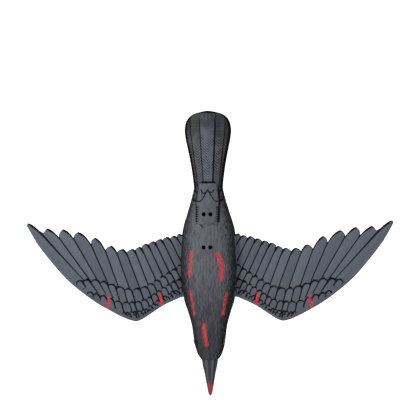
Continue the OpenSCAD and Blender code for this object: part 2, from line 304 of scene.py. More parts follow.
# Places across a feather from its inner edge to its outer edge, closer together at the edges
ACROSS = np.array([
    -1, -0.98, -0.94, -0.86, -0.7, -0.45, -0.2, -0.07, 0, 0.07, 0.2, 0.45, 0.7, 0.86, 0.95, 1,
])
# Feathers stay this far behind the leading edge
LEAD_INSET = 0.8
# Where along a feather its inner rim starts to widen, where it is widest, and by how much
RIM_WIDENS = (0.78, 0.93)
RIM_AT_TIP = 0.5
# How the distances from the outer edge and from the tip count: [share, mm added]
OUTER_RIM = (1.3, 0.1)
TIP_RIM = (0.7, 0.2)


def feather_places(count):
    """Places along a feather from its base to its tip, closer together at the tip."""
    return 1 - (1 - np.linspace(0, 1, count)) ** 1.7


def rim_distance(u, v, width, length, rim, show_outer):
    """How far a point of a feather is from its dark rim of ink and painted shade. A wider rim
    counts as nearer.
    """
    near_tip = step(*RIM_WIDENS, u)
    inner = (1 + v) * width * (1 - RIM_AT_TIP * near_tip) / (1 + (rim - 1) * (1 - near_tip))
    outer = (1 - v) * width * OUTER_RIM[0] + OUTER_RIM[1]
    edge = np.where(u > show_outer, np.minimum(inner, outer), inner)
    return np.minimum(edge, (1 - u) * length * TIP_RIM[0] + TIP_RIM[1])


def feather(inner, outer, face, depth, sign, show_outer, rim):
    """One feather as a closed solid between its inner and outer edges, which meet at its tip.

    face(x, y, u, v) is the height of its outer face and depth(x, y, u, v) of its hidden face.
    sign is 1 for a feather seen from above and -1 for one seen from below. The outer edge
    shows past show_outer of the length, and lies under the feather before it until there. The
    inner edge is rimmed dark with ink and painted shade, rim times as wide as usual.
    """
    u = feather_places(len(inner))[:, None]
    v = ACROSS[None, :]
    centre = (inner + outer) / 2
    half = (outer - centre)[:, None, :]
    flat = centre[:, None, :] + half * v[..., None]
    x = flat[..., 0]
    y = np.maximum(flat[..., 1], lead_at(x) + LEAD_INSET)
    uu, vv = np.broadcast_arrays(u, v)
    width = np.hypot(half[..., 0], half[..., 1])
    length = np.hypot(*(centre[-1] - centre[0]))
    edge = rim_distance(uu, vv, width, length, rim, show_outer)
    heights = (face(x, y, uu, vv), depth(x, y, uu, vv))
    fields = {
        "edge_mm": edge, "along_mm": uu * length, "across_mm": vv * width,
        "tone": np.full(x.shape, RNG.random()),
    }
    return slab("feather", x, y, heights[::sign], fields)


def lead_at(x):
    """The y of the leading edge at an x."""
    return smooth(LEAD, x - ROOT_X, 1)


def wing_middle(x, y):
    """Height of the wing's middle surface, as in the CAD."""
    out = x - ROOT_X
    share = np.clip(out / REACH, 0, 1)
    lead = smooth(LEAD, out, 1)
    trail = np.interp(out, *zip(*TIPS))
    u = np.clip((y - lead) / (trail - lead), 0, 1.1)
    return PART_Z + WING_ARCH * np.sin(np.pi * share) * (1 - EDGE_DROP * (2 * u - 1) ** 2)


# Direction in which the coverts point, in degrees from +X, by x
LEAN = [
    [20, 61], [60, 63], [85, 66], [105, 68], [125, 73], [142, 74], [158, 67], [174, 58],
    [188, 52], [240, 48],
]
# Grooves between the flight feathers, outermost first: where each leaves the coverts, by x,
# and the notch in the trailing edge where it ends
GROOVES = [
    [188, 248.8, 19.4], [179, 222.5, 12.5], [166.5, 201.5, 12], [151, 175, 2], [135.5, 154, -6.5],
    [118.5, 137, -9], [103.5, 122.5, -9], [91, 109.5, -6], [79, 99.5, -2.5], [69, 89.5, 3],
    [59.5, 79, 6.5], [50, 68.5, 10], [40.5, 57, 11.5], [31, 46, 13], [22, 36, 14],
]
# Three rows of coverts lie over the flight feathers' bases: the line of each row's tips, by x,
# and the x of each tip. The lesser coverts lie this far in front of the median ones.
GREATER_LINE = [
    [10, 2], [25, -10], [45, -26], [63, -38], [80, -48.5], [99, -58], [121, -61], [148, -54],
    [174, -47.5], [205, -50],
]
GREATER_X = [36, 45.5, 54.5, 62.5, 71, 80, 89, 99, 110.5, 123, 135, 148, 161, 174, 187, 198]
MEDIAN_LINE = [
    [30, -39], [48, -48], [63, -55.5], [78, -65], [91, -74], [103, -79], [120, -81], [138, -79.5],
    [161, -71.5], [182, -66],
]
MEDIAN_X = [
    40, 47.5, 55, 62.5, 69.5, 77, 83.5, 91, 98.5, 108, 117, 126, 138.5, 150.5, 161.5, 172, 182,
]
LESSER_BACK = [14.5, 18.5]
LESSER_GAP = 5.6
LESSER_FRONT = 5
RED_ON_WING = [[73.5, -70, 70.5, -87, 5.2], [150.4, -75.5, 153.8, -93, 5.4]]
# Past HAND_X, on the hand, the coverts' inner edges are rimmed more heavily than on the arm
HAND_X = 140
HAND_RIM = 1.45
ARM_RIM = 1.15
# The quill's height and width, and how far down a feather's edges are rounded
QUILL = (0.2, 0.07)
EDGE_ROUND = 0.35


def shingle(v, height):
    """A feather's face: crowned, its inner edge riding over the next feather, edges rounded."""
    quill = QUILL[0] * ridge(v, QUILL[1]) * np.minimum(height, 1)
    slope = 0.5 * (1 - v * v) - 0.5 * v
    return height * slope + quill - EDGE_ROUND * step(0.84, 1, np.abs(v))


COVERT_STEPS = 18
# Half a covert's width as a share of the distance between tips, and how much wider its outer
# half is, to lie under the next one
COVERT_HALF = 0.56
COVERT_UNDER = 1.1
COVERT_CROWN = 0.8
# A covert's tip is rounded over this many half widths
COVERT_ROUND = 1.35
COVERT_SHORTEST = 6


def covert_taper(u, reach, half):
    """A covert's width along its length: widening a little, then round at the tip."""
    from_tip = (1 - u) * reach / (COVERT_ROUND * half)
    taper = (0.85 + 0.15 * u) * np.sqrt(1 - np.clip(1 - from_tip, 0, 1) ** 2.1)
    return np.maximum(taper, 0.03)


def covert_row(xs, line, length, lift, sign, jitter=0):
    """A row of short overlapping feathers whose tips lie along a line."""

    def face(x, y, u, v):
        near = step(0.5, 6.5, y - lead_at(x))
        ramp = lift - 0.5 * (1 - u) - EDGE_ROUND * step(0.9, 1, u)
        return wing_middle(x, y) + sign * near * (ramp + shingle(v, COVERT_CROWN))

    def depth(x, y, u, v):
        return wing_middle(x, y) - sign * 0.2

    feathers = []
    tips = np.array([[x, smooth(line, x, 1)] for x in xs], float)
    tips += RNG.uniform(-jitter, jitter, tips.shape)
    gaps = np.hypot(*np.diff(tips, axis=0).T)
    u = feather_places(COVERT_STEPS)[:, None]
    for i, tip in enumerate(tips):
        angle = np.radians(smooth(LEAN, tip[0], 1))
        ahead = np.array([np.cos(angle), np.sin(angle)])
        out = np.array([ahead[1], -ahead[0]])
        half = COVERT_HALF * gaps[min(i, len(gaps) - 1)]
        # It starts short of the leading edge
        room = (tip[1] - lead_at(tip[0])) / ahead[1] - 1.5
        reach = min(length, max(COVERT_SHORTEST, room))
        centre = tip + (u - 1) * reach * ahead
        side = out * half * covert_taper(u, reach, half)
        shown = 1 - 1.1 * half / reach
        rim = HAND_RIM if tip[0] > HAND_X else ARM_RIM
        feathers.append(
            feather(centre - side, centre + side * COVERT_UNDER, face, depth, sign, shown, rim)
        )
    return feathers


def edge_line(start, notch, tip, fullness, u):
    """An edge of a flight feather: straight to the notch, then rounding in to the tip.

    The corner is cut straight across at a fullness of 0 and fullest at 1. The place along the
    feather where the edge passes the notch comes back with it.
    """
    ahead = (notch - start) / np.hypot(*(notch - start))
    turn = ((notch - start) @ ahead) / ((tip - start) @ ahead)
    corner = notch + ahead * ((tip - notch) @ ahead)
    corner = fullness * corner + (1 - fullness) * (notch + tip) / 2
    straight = start + (notch - start) * np.minimum(u / turn, 1)
    t = np.clip((u - turn) / (1 - turn), 0, 1)
    curve = notch * (1 - t) ** 2 + 2 * corner * t * (1 - t) + tip * t * t
    return np.where(u < turn, straight, curve), turn


FLIGHT_STEPS = 40
# Length of each flight feather that the coverts hide, and how far it reaches under the next
FLIGHT_HIDDEN = 16
FLIGHT_LAP = 2.6
FLIGHT_LIFT = 0.9
# Feathers whose tips are further out than this are primaries, with less full inner corners
PRIMARY_X = 160
OUTERMOST_FULL = 0.66
PRIMARY_FULL = 0.6
SECONDARY_FULL = 0.8
OUTER_FULL = 0.97
# The outermost feather follows the leading edge from OUTERMOST_START, out from the wing's
# root, and leaves it at OUTERMOST_TURN of its length for its round tip
OUTERMOST_START = 118
OUTERMOST_TURN = 0.93
OUTERMOST_TIP = np.array([ROOT_X + REACH - 3.8, 37.6])
OUTERMOST_CORNER = np.array([ROOT_X + REACH - 0.1, 38.6])
OUTERMOST_RIM = 1.8


def flight_face(x, y, u, v):
    near = step(0, 5, y - lead_at(x))
    return wing_middle(x, y) + near * (FLIGHT_LIFT + shingle(v, 1.0) - 0.3 * step(0.96, 1, u))


def flight_depth(x, y, u, v):
    near = step(0, 5, y - lead_at(x))
    under = FLIGHT_LIFT + 0.8 * (0.45 * (1 - v * v) + 0.5 * v) - 0.35 * step(0.5, 1, u)
    return wing_middle(x, y) - near * under + 0.3 * step(0.85, 1, np.abs(v)) * near - 0.15


def outermost_edge(u):
    """The outermost feather's outer edge, which is the wing's leading edge out to the tip."""
    t = np.minimum(u / OUTERMOST_TURN, 1)
    out = OUTERMOST_START + (REACH - 1.2 - OUTERMOST_START) * t[:, 0]
    edge = np.stack([ROOT_X + out, smooth(LEAD, out, 1)], -1)
    t = np.clip((u - OUTERMOST_TURN) / (1 - OUTERMOST_TURN), 0, 1)
    return edge * (1 - t) ** 2 + 2 * OUTERMOST_CORNER * t * (1 - t) + OUTERMOST_TIP * t * t


def flight_feathers():
    """The fifteen long feathers, outermost first, each between two grooves."""
    tips = np.array([[ROOT_X + t[0] * REACH / LEAD[-1][0], t[1]] for t in TIPS[::-1]], float)
    bases = np.array([[g[0], smooth(GREATER_LINE, g[0], 1)] for g in GROOVES], float)
    notches = np.array([g[1:] for g in GROOVES], float)
    hidden = FLIGHT_HIDDEN * (notches - bases) / np.hypot(*(notches - bases).T)[:, None]
    starts = bases - hidden
    u = feather_places(FLIGHT_STEPS)[:, None]
    inner, _ = edge_line(starts[0], notches[0], OUTERMOST_TIP, OUTERMOST_FULL, u)
    feathers = [
        feather(
            inner, outermost_edge(u), flight_face, flight_depth, 1, OUTERMOST_TURN, OUTERMOST_RIM,
        )
    ]
    for k, tip in enumerate(tips[1:], start=1):
        side = hidden[k - 1] @ np.array([[0, -1], [1, 0]]) / FLIGHT_HIDDEN
        under = FLIGHT_LAP * side
        fullness = PRIMARY_FULL if tip[0] > PRIMARY_X else SECONDARY_FULL
        inner, _ = edge_line(starts[k], notches[k], tip, fullness, u)
        outer, shown = edge_line(
            starts[k - 1] + under, notches[k - 1] + 0.5 * under, tip, OUTER_FULL, u,
        )
        feathers.append(feather(inner, outer, flight_face, flight_depth, 1, shown, 1))
    return feathers


# The core reaches this share of the wing's depth, and its nose is rounded over this length
CORE_CHORD = 0.78
CORE_NOSE = 4.5
# Half thickness at the leading edge and how much of it goes towards the feathers
CORE_HALF = 2.3
CORE_THINS = 1.6


def wing_core():
    """The wing's solid middle: a rounded leading edge that thins towards the feathers."""
    out = np.concatenate([np.linspace(-4, 190, 94), np.linspace(191.5, 219, 18)])
    inward = np.concatenate([[0, 0.25, 0.6, 1.1, 1.8, 2.8, 4, 5.5, 7.5], np.linspace(10, 100, 26)])
    x = ROOT_X + np.repeat(out[:, None], len(inward), 1)
    lead = smooth(LEAD, out, 1)[:, None]
    trail = np.interp(out, *zip(*TIPS))[:, None]
    chord = trail - lead
    share = np.linspace(0, 1, len(inward))[None, :]
    d = np.minimum(inward[None, :], CORE_CHORD * chord * share ** 0.35)
    # No two places may coincide
    d = np.maximum.accumulate(d + 1e-3 * np.arange(len(inward))[None, :], axis=1)
    y = lead + d
    nose = np.sqrt(np.clip(1 - (1 - d / CORE_NOSE).clip(0, 1) ** 2, 0.02, 1))
    # On the hand the coverts and flights start closer to the leading edge, so it thins sooner
    hand = step(85, 140, out)[:, None]
    thin = step(0, 1, d / (0.45 * chord * (1 - hand) + 11 * hand))
    half = nose * (CORE_HALF - 0.6 * hand - CORE_THINS * thin + 0.3 * hand * thin)
    half = half * np.minimum(1, 0.45 + chord / 60)
    middle = wing_middle(x, y)
    flat = as_points(x, y, 0 * x)
    grain = 0.12 * noise_field(flat, (5, 3, 1)).reshape(x.shape)
    heights = (middle - 0.85 * half, middle + half + grain * nose)
    # The leading edge has a fine dark rim of painted shade
    fields = {
        "edge_mm": 1.0 + d * 1.3, "along_mm": y, "across_mm": x, "tone": np.full(x.shape, 0.5),
    }
    return slab("core", x, y, heights, fields)


def nearest_fields(target, sources):
    """Copies the fields of the nearest source point to each point of the target."""
    points = np.concatenate([s[0] for s in sources])
    tree = kdtree.KDTree(len(points))
    for i, p in enumerate(points.tolist()):
        tree.insert(p, i)
    tree.balance()
    near = np.array([tree.find(p)[1] for p in points_of(target).tolist()])
    fields = {}
    for name in sources[0][1]:
        fields[name] = np.concatenate([s[1][name].ravel() for s in sources])[near]
    write_fields(target, fields)


def read_fields(obj, names):
    """The values stored at each point of a mesh, by name."""
    fields = {}
    for name in names:
        values = np.empty(len(obj.data.vertices), np.float32)
        obj.data.attributes[name].data.foreach_get("value", values)
        fields[name] = values
    return fields


# Inside CUT_X the wing is the CAD's plain root lap, and the two overlap by a little
CUT_X = 41.2
CUT_LAP = 0.4
# Room in the slot above and below the wing's middle surface, how high and low the relief is
# outside it, and where and how steeply the room opens out
SLOT_ROOM_UP = 2.9
SLOT_ROOM_DOWN = 1.45
RELIEF_UP = 3.9
RELIEF_DOWN = 3.3
SLOT_END_X = 44.6
SLOT_OPENS = 0.35
WING_Y = (-150, 60)


def tame_root(obj):
    """Flattens the relief where the wing passes through the slot in the body."""
    points = points_of(obj)
    middle = wing_middle(points[:, 0], points[:, 1])
    beyond = SLOT_OPENS * np.clip(points[:, 0] - SLOT_END_X, 0, 20)
    height = points[:, 2] - middle
    up = np.minimum(1, (SLOT_ROOM_UP + beyond) / RELIEF_UP)
    low = np.minimum(1, (SLOT_ROOM_DOWN + beyond) / RELIEF_DOWN)
    points[:, 2] = middle + height * np.where(height > 0, up, low)
    obj.data.vertices.foreach_set("co", (points * MM).ravel())


def lesser_coverts():
    """Two rows of small feathers, on the upper face only, that end where the wing is narrow."""
    feathers = []
    for row, back in enumerate(LESSER_BACK):
        xs = np.arange(39 + 2.5 * row, 132, LESSER_GAP)
        xs = [x for x in xs if smooth(MEDIAN_LINE, x, 1) - back > lead_at(x) + LESSER_FRONT]
        line = [[a, b - back] for a, b in MEDIAN_LINE]
        feathers += covert_row(xs, line, 10, 2.9, 1, jitter=0.9)
    return feathers


def wing():
    """The left wing as one closed moulding with its root lap from the CAD."""
    parts = flight_feathers() + [wing_core()]
    for sign in (1, -1):
        parts += covert_row(GREATER_X, GREATER_LINE, 30, 2.0, sign)
        parts += covert_row(MEDIAN_X, MEDIAN_LINE, 22, 2.6, sign)
    parts += lesser_coverts()
    for part in parts:
        tame_root(part)
    # The paint is worked out on the whole wing
    names = FIELDS[:-1]
    sources = [(points_of(p), read_fields(p, names)) for p in parts]
    blade = fuse("left_wing_moulding", parts)
    blade = combine(blade, part_box(0, CUT_X, *WING_Y), "DIFFERENCE")
    root = copy_node("left_wing")
    root = combine(root, part_box(CUT_X + CUT_LAP, 400, *WING_Y), "DIFFERENCE")
    blade = combine(blade, root, "UNION")
    weld(blade)
    nearest_fields(blade, sources)
    points = points_of(blade)
    paint = stroke_distance(points[:, 0], points[:, 1], RED_ON_WING)
    underneath = points[:, 2] < wing_middle(points[:, 0], points[:, 1])
    write_fields(blade, {"paint_mm": np.where(underneath, NO_PAINT, paint)})
    return blade


# ---------------- tail

TAIL = [
    [0, 0.62], [0.1, 0.65], [0.26, 0.72], [0.46, 0.84], [0.62, 0.95], [0.74, 1], [0.82, 0.97],
    [0.88, 0.9], [0.93, 0.76], [0.97, 0.52], [1, 0.1],
]
# The moulding starts a little inside the rump, so that no slit shows
TAIL_Y = RUMP_Y + 0.4
TAIL_LAP = 0.45
TAIL_EDGE_Z = 0.4
TAIL_T = 2.8
TAIL_CROWN = 9.0
TAIL_ROOT_CROWN = 0.5
# Edges of the tail's feathers as shares of its half width, from the middle out
TAIL_PANELS = np.array([0, 0.33, 0.74, 1])
# Where the rump plate ends over the tail
PLATE_END = 96.6
TAIL_BARB = 4.2
# Relief of its top, as [rise, width]: each feather's proud outer edge, its inner edge tucked
# under the next one in, and its quill. Then how high its crown and barbs stand, and how far
# it is all sunk to stay inside the CAD's skin.
TAIL_LIP = (0.4, 2.2)
TAIL_TUCK = (0.6, 0.9)
TAIL_QUILL = (0.4, 0.8)
TAIL_HUMP = 0.5
TAIL_BARB_RISE = 0.2
TAIL_SUNK = 0.9


def tail_edges(a, x, y, panel, to_low, to_high, rim):
    """How far each point is from a dark line of ink and painted shade, on the tail's underside and
    on its top.
    """
    # The middle feather's edge on the bird's left has the widest groove: a painted shadow, cast
    # away from the key light on the bird's right
    shadow_side = np.where(x > 0, 1.05, 2.0)
    edge = np.where(panel == 0, to_high * shadow_side, NO_PAINT)
    edge = np.where(panel == 1, np.minimum(to_low * shadow_side + 0.5, to_high * 1.9 + 0.3), edge)
    edge = np.where(panel == 2, to_low + 0.9, edge)
    # The grooves fade towards the tip, and the whole tail has a dark rim of painted shade, a
    # little wider on the bird's left
    edge = np.minimum(edge + 1.5 * step(0.82, 0.98, a), rim * np.where(x > 0, 0.36, 0.42))
    # The rump plate shades the root of the tail from above
    shade = np.maximum(y - PLATE_END + 0.2, 0) * 0.8 + 4 * step(8, 13.5, np.abs(x))
    return edge, np.minimum(edge, shade)


def tail_relief():
    """The tail as one closed sheet whose top carries five overlapping feathers."""
    length = TAIL_TIP - TAIL_Y + TAIL_LAP
    tip = 1 - 0.1 * (1 - np.linspace(0, 1, 34)[1:]) ** 1.4
    along = np.concatenate([np.linspace(0, 0.9, 190), tip])
    even = np.linspace(-1, 1, 141)
    a, s = np.meshgrid(along, 0.35 * np.sin(even * np.pi / 2) + 0.65 * even, indexing="ij")
    half = TAIL_HALF * smooth(TAIL, a, 1)
    x = -s * half
    y = TAIL_Y - TAIL_LAP + length * a
    crown = TAIL_CROWN * (TAIL_ROOT_CROWN + (1 - TAIL_ROOT_CROWN) * np.minimum(1, 2 * a))
    crown = crown * np.minimum(1, 1.3 * smooth(TAIL, a, 1))
    sheet = PART_Z + TAIL_EDGE_Z + crown * (1 - s * s)
    # Which feather a point is on and how far across it: the feathers keep their width to the tip
    wide = TAIL_HALF * np.interp(a, [0, 0.2, 0.75, 1], [0.6, 0.69, 1, 1.02])
    share = np.abs(x) / wide
    panel = np.clip(np.searchsorted(TAIL_PANELS, share, side="right") - 1, 0, 2)
    low = np.where(panel == 0, -TAIL_PANELS[1], TAIL_PANELS[panel])
    high = TAIL_PANELS[np.minimum(panel + 1, 3)]
    to_high = (high - share) * wide
    to_low = (share - low) * wide
    across = np.where(panel == 0, x, np.abs(x) - (low + high) / 2 * wide)
    # Each feather lies over the next one out
    off_centre = (share - (low + high) / 2) / ((high - low) / 2)
    barbs = TAIL_BARB_RISE * np.sin((y - np.abs(across)) * 2 * np.pi / TAIL_BARB)
    relief = TAIL_HUMP * np.clip(1 - off_centre ** 2, 0, 1) - 0.25 * panel
    relief = relief + TAIL_LIP[0] * ridge(to_high, TAIL_LIP[1]) * (panel < 2)
    relief = relief - TAIL_TUCK[0] * ridge(to_low, TAIL_TUCK[1]) * (panel > 0)
    relief = relief + np.where(panel == 0, 1, 0.55) * TAIL_QUILL[0] * ridge(across, TAIL_QUILL[1])
    rim = np.minimum((1 - np.abs(s)) * half, (1 - a) * length)
    relief = (relief + barbs - TAIL_SUNK) * step(0, 2, rim) - 0.7 * (1 - step(0, 2.2, rim))
    z_top = sheet + relief
    under = 0.6 * barbs - 0.3 * ridge(to_high, TAIL_TUCK[1]) * (panel < 2)
    z_low = sheet - TAIL_T + 0.3 + under * step(0, 2, rim)
    z_low = np.minimum(z_low, z_top - 0.5)
    fields = {
        "edge_mm": tail_edges(a, x, y, panel, to_low, to_high, rim),
        "along_mm": y, "across_mm": across,
        # Darker outwards, painted shade where the tail curves away, and darker towards the tip; a
        # little lighter on the bird's right, painted light from the key light on that side
        "tone": 0.85 - 0.32 * panel + 0.06 * np.sign(-x) - 0.62 * step(0.45, 1, a),
        "paint_mm": np.full(x.shape, NO_PAINT),
    }
    return slab("tail_moulding", x, y, (z_low, z_top), fields)


def tail():
    """The feathered tail as one closed moulding with its tongue from the CAD."""
    blade = tail_relief()
    sources = [(points_of(blade), read_fields(blade, FIELDS))]
    tongue = combine(copy_node("tail_fan"), part_box(-60, 60, TAIL_Y + 1, 300), "DIFFERENCE")
    blade = combine(blade, tongue, "UNION")
    weld(blade)
    nearest_fields(blade, sources)
    return blade


# ---------------- body shells

# The raised plate on the rump: [y, half width, rise]
RUMP_PLATE = [
    [34, 15, 0.4], [40, 16.3, 0.7], [50, 16.5, 1], [70, 16.5, 1], [84, 14.5, 1], [96, 12.8, 1],
]
PLATE_START = 34
TOOTH_PITCH = 3.4
# Scalloped feather edges drawn on the plate, and a scratch below it
PLATE_GROOVES = [
    [(-17.5, 69.5), (-14, 68), (-11, 68.2), (-8.5, 70.5), (-5.8, 74.5), (-2.8, 81), (0, 86)],
    [(0, 86), (2.8, 80.5), (7, 74), (9.5, 70.5), (11.5, 68.5), (14, 68), (17.5, 69)],
    [(-10.6, 86), (-8.4, 82), (-6, 80), (-3.4, 82)],
    [(2.2, 83), (4.6, 81), (7.2, 82.4), (9, 85.5)],
    [(-10.5, 33.8), (-8.6, 32.4), (-6.2, 30.2)],
]
# Small swellings beside the plate: [distance from the centre line, y, half width, half length]
THIGH = (20.2, 77, 3.5, 7.4)
RED_ON_BACK = [
    [-24, -7, -26.8, -43, 4.6], [16.2, -10, 22, -27, 6.6], [22, -27, 21, -47, 6.8],
    [-25.5, -64.5, -21.2, -100, 4.0], [28, -68.5, 22, -100, 4.4], [-6.8, -115, -3.2, -145.5, 6.0],
]
EYE_Y = (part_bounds("left_eye")[0].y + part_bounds("left_eye")[1].y) / 2 / MM
EYE_Z = (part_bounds("left_eye")[0].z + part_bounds("left_eye")[1].z) / 2 / MM


def streaks(points, size, seed):
    """Hair-like feather streaks that run along the body, from 0 to 1."""
    coarse = noise_field(points, size, seed)
    fine = noise_field(points, np.asarray(size) * 0.45, seed + 3)
    return np.clip(0.5 + 0.75 * coarse + 0.45 * fine, 0, 1)


def plate_fields(x, y):
    """How far a point is inside the rump plate, and how much of it is a tooth's ridge there."""
    half = smooth(RUMP_PLATE, y, 1)
    teeth = step(36, 39, y) * (1 - step(61, 64, y))
    tooth = 0.5 + 0.5 * np.cos(2 * np.pi * y / TOOTH_PITCH)
    inside = half + 0.6 - 1.1 * teeth * tooth - np.abs(x)
    inside = np.minimum(inside, (y - PLATE_START + 1.2 * np.sin(x * 0.55)) * 0.8)
    ridges = teeth * (1 - tooth) * step(half - 5, half - 3, np.abs(x)) * (inside > 0)
    return inside, ridges


def back_relief(x, y, z, inset):
    """The rump plate, the ovals beside it and the eye sockets, worked into the plumage.

    Gives the new inset, the distance from the nearest dark line and where the plate is.
    """
    inside, ridges = plate_fields(x, y)
    on_plate = step(-0.25, 0.25, inside)
    grooves = np.full(y.shape, NO_PAINT)
    for line in PLATE_GROOVES:
        pieces = [[*a, *b, 0] for a, b in zip(line, line[1:])]
        grooves = np.minimum(grooves, stroke_distance(x, y, pieces))
    oval = np.hypot((np.abs(x) - THIGH[0]) / THIGH[2], (y - THIGH[1]) / THIGH[3])
    around = np.abs(oval - 1) * THIGH[2]
    grooves = np.minimum(grooves, np.where(inside < 0, around, NO_PAINT))
    inset = inset * (1 - 0.5 * on_plate) + 0.1 + 0.5 * ridges
    inset = inset - smooth(RUMP_PLATE, y, 2) * on_plate + 0.6 * ridge(grooves, 0.75)
    # A raised ring and a hollow round each eye
    socket = np.hypot(y - EYE_Y, z - EYE_Z)
    inset = inset - 0.1 * ridge(socket - 5.4, 0.7) + 0.35 * ridge(socket - 6.8, 0.8)
    # The plate's edge is a deeper shadow on the bird's left, and soft at its front
    crease = np.abs(inside) * np.where(x > 0, 0.32, 0.6)
    crease = np.where(inside > 0, crease * 2.4, crease)
    crease = np.minimum(crease, np.abs(PLATE_END - y) * 0.6)
    crease = crease + 0.75 * (1 - step(34, 39, y)) + NO_PAINT * (y < 30)
    # The drawn grooves and the rings round the ovals are dark lines of ink and painted shade
    crease = np.minimum(crease, grooves)
    crease = np.minimum(crease, 1.5 - 1.35 * ridges + 3 * (ridges < 0.1))
    return inset, crease, on_plate


def relief_solid(is_back):
    """A closed solid a little inside the CAD's skin, with the plumage worked into its surface."""
    ys = np.arange(HEAD_Y - 1, 98, 0.85)
    y, angle = np.meshgrid(ys, np.linspace(0, np.pi, 150), indexing="ij")
    w = HALF_W * smooth(BODY, y, 1)
    h = BACK_H * smooth(BODY, y, 2) if is_back else BELLY_H * smooth(BODY, y, 3)
    x = w * np.cos(angle)
    lift = h * np.sin(angle)
    # Outward direction across the body, from the ellipse's own gradient
    nx = np.cos(angle) / w
    nz = np.sin(angle) / h
    size = np.hypot(nx, nz)
    nx, nz = nx / size, nz / size
    round_mm = (angle - np.pi / 2) * (w + h) / 2
    # Streaks fan out towards the tail
    flow = as_points(round_mm * (1 - 0.005 * y), y, 0 * y)
    hair = streaks(flow, (1.9, 10, 1), 1 if is_back else 5).reshape(y.shape)
    tuft = streaks(flow, (6, 15, 1), 9).reshape(y.shape)
    inset = 0.12 + 0.5 * (1 - hair) + 0.25 * (1 - tuft)
    tone = 0.75 * hair + 0.8 * step(-150, -10, y) - 0.35
    crease = np.full(y.shape, NO_PAINT)
    paint = np.full(y.shape, NO_PAINT)
    if is_back:
        inset, crease, on_plate = back_relief(x, y, PART_Z + lift, inset)
        tone = tone * (1 - 0.35 * on_plate) + 0.22 * on_plate
        paint = stroke_distance(x, y, RED_ON_BACK)
    # Only the plate may stand proud of the plain skin, as it does in the CAD
    inset = np.maximum(inset, 0.06 - (1.0 if is_back else 0))
    flip = 1 if is_back else -1
    x_skin = x - nx * inset
    z_skin = PART_Z + flip * (lift - nz * inset)
    # The solid reaches a little past the parting plane, and the CAD's shell cuts it off there
    z_shut = np.full(y.shape, PART_Z - flip * 1.0)
    solid = slab("relief", x_skin, y, (z_shut, z_skin)[::flip], {})
    # The share of the half width out to the side drives the painted shade down the flanks
    fields = {
        "edge_mm": crease, "along_mm": y, "across_mm": round_mm, "tone": tone,
        "flank_shade": np.abs(x) / w, "paint_mm": paint,
    }
    return solid, [(as_points(x_skin, y, z_skin), fields)]


def shell(node, is_back):
    """The CAD's shell with its outer skin carved down to the plumage."""
    solid, sources = relief_solid(is_back)
    piece = combine(solid, copy_node(node), "INTERSECT")
    piece.name = node + "_moulding"
    weld(piece)
    nearest_fields(piece, sources)
    return piece


# ---------------- beak

# [share of length, half width, height above and depth below the middle]
BEAK = [
    [0, 12.5, 10, 9], [0.15, 11.4, 9, 8], [0.36, 8.8, 7.4, 6], [0.58, 6.7, 5.8, 4.4],
    [0.8, 4.5, 4, 3], [0.92, 3.2, 2.8, 2.2], [0.99, 1.2, 1, 0.8],
]
BEAK_HOOK = 3.0
# The bill starts a little inside the head, so that no slit shows
BEAK_LAP = 0.05
RED_TIP_Y = -199.5
BEAK_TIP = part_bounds("beak")[0].y / MM


def beak():
    """Both halves of the bill in one tapering form: ridges, mouth line and nostrils."""
    length = HEAD_Y + BEAK_LAP - BEAK_TIP
    last = BEAK[-1][0]
    blunt = 0.9 + (last - 0.9) * np.linspace(0, 1, 14)[1:]
    share = np.concatenate([np.linspace(0, 0.9, 90), blunt])
    a, angle = np.meshgrid(share, np.linspace(0, 2 * np.pi, 97)[:-1], indexing="ij")
    y = HEAD_Y + BEAK_LAP - length * a / last
    w = smooth(BEAK, a, 1)
    rise = np.sin(angle)
    tall = np.where(rise > 0, smooth(BEAK, a, 2), smooth(BEAK, a, 3))
    around = as_points(np.cos(angle) * 6, y, rise * 6)
    inset = 0.08 + 0.06 * noise_field(around, (1.4, 8, 1.4), 2).reshape(a.shape)
    mouth = ridge(rise + 0.12, 0.07) * step(0.02, 0.06, a) * (1 - step(0.86, 0.95, a))
    # Two low ridges run along the top with a groove between them
    off_top = angle - np.pi / 2
    ridges = ridge(np.abs(off_top) - 0.42, 0.2)
    groove = ridge(off_top, 0.12) * (1 - step(0.5, 0.85, a))
    nostril = ridge(a - 0.13, 0.045) * ridge(rise - 0.45, 0.16)
    inset = inset + 0.45 * mouth + 0.55 * nostril + 0.3 * (1 - ridges) * (rise > 0) + 0.25 * groove
    shrink = 1 - inset / np.maximum(w, 2.5)
    drop = BEAK_HOOK * ((HEAD_Y - y) / (HEAD_Y - BEAK_TIP)) ** 2
    x = w * np.cos(angle) * shrink
    z = PART_Z + tall * rise * shrink - drop
    rings = as_points(x, y, z)
    index = np.arange(a.size).reshape(a.shape)
    after = np.roll(index, -1, axis=1)
    sides = np.stack([index[:-1], index[1:], after[1:], after[:-1]], -1).reshape(-1, 4).tolist()
    faces = sides + [index[0].tolist(), index[-1][::-1].tolist()]
    piece = make_object("beak_moulding", rings, faces)
    # The mouth line and nostrils are dark lines of ink and painted shade in their grooves, and the
    # share out to the side drives the painted shade down the bill's sides
    fields = {
        "edge_mm": 2.2 - 2.2 * np.maximum(mouth, nostril), "along_mm": y, "across_mm": x,
        "tone": 0.55 * ridges, "flank_shade": np.abs(np.cos(angle)),
        "paint_mm": y - RED_TIP_Y + 0.5 * x * x + NO_PAINT * (rise < -0.1),
    }
    neck = combine(copy_node("beak"), part_box(-30, 30, -300, HEAD_Y - 1), "DIFFERENCE")
    piece = combine(piece, neck, "UNION")
    weld(piece)
    nearest_fields(piece, [(rings, fields)])
    return piece


# ---------------- screws

# Half length and half width of the bars of a cross recess, and its depth
RECESS = (2.0, 0.45)
RECESS_DEEP = 1.1
HEAD_ROOM = 8


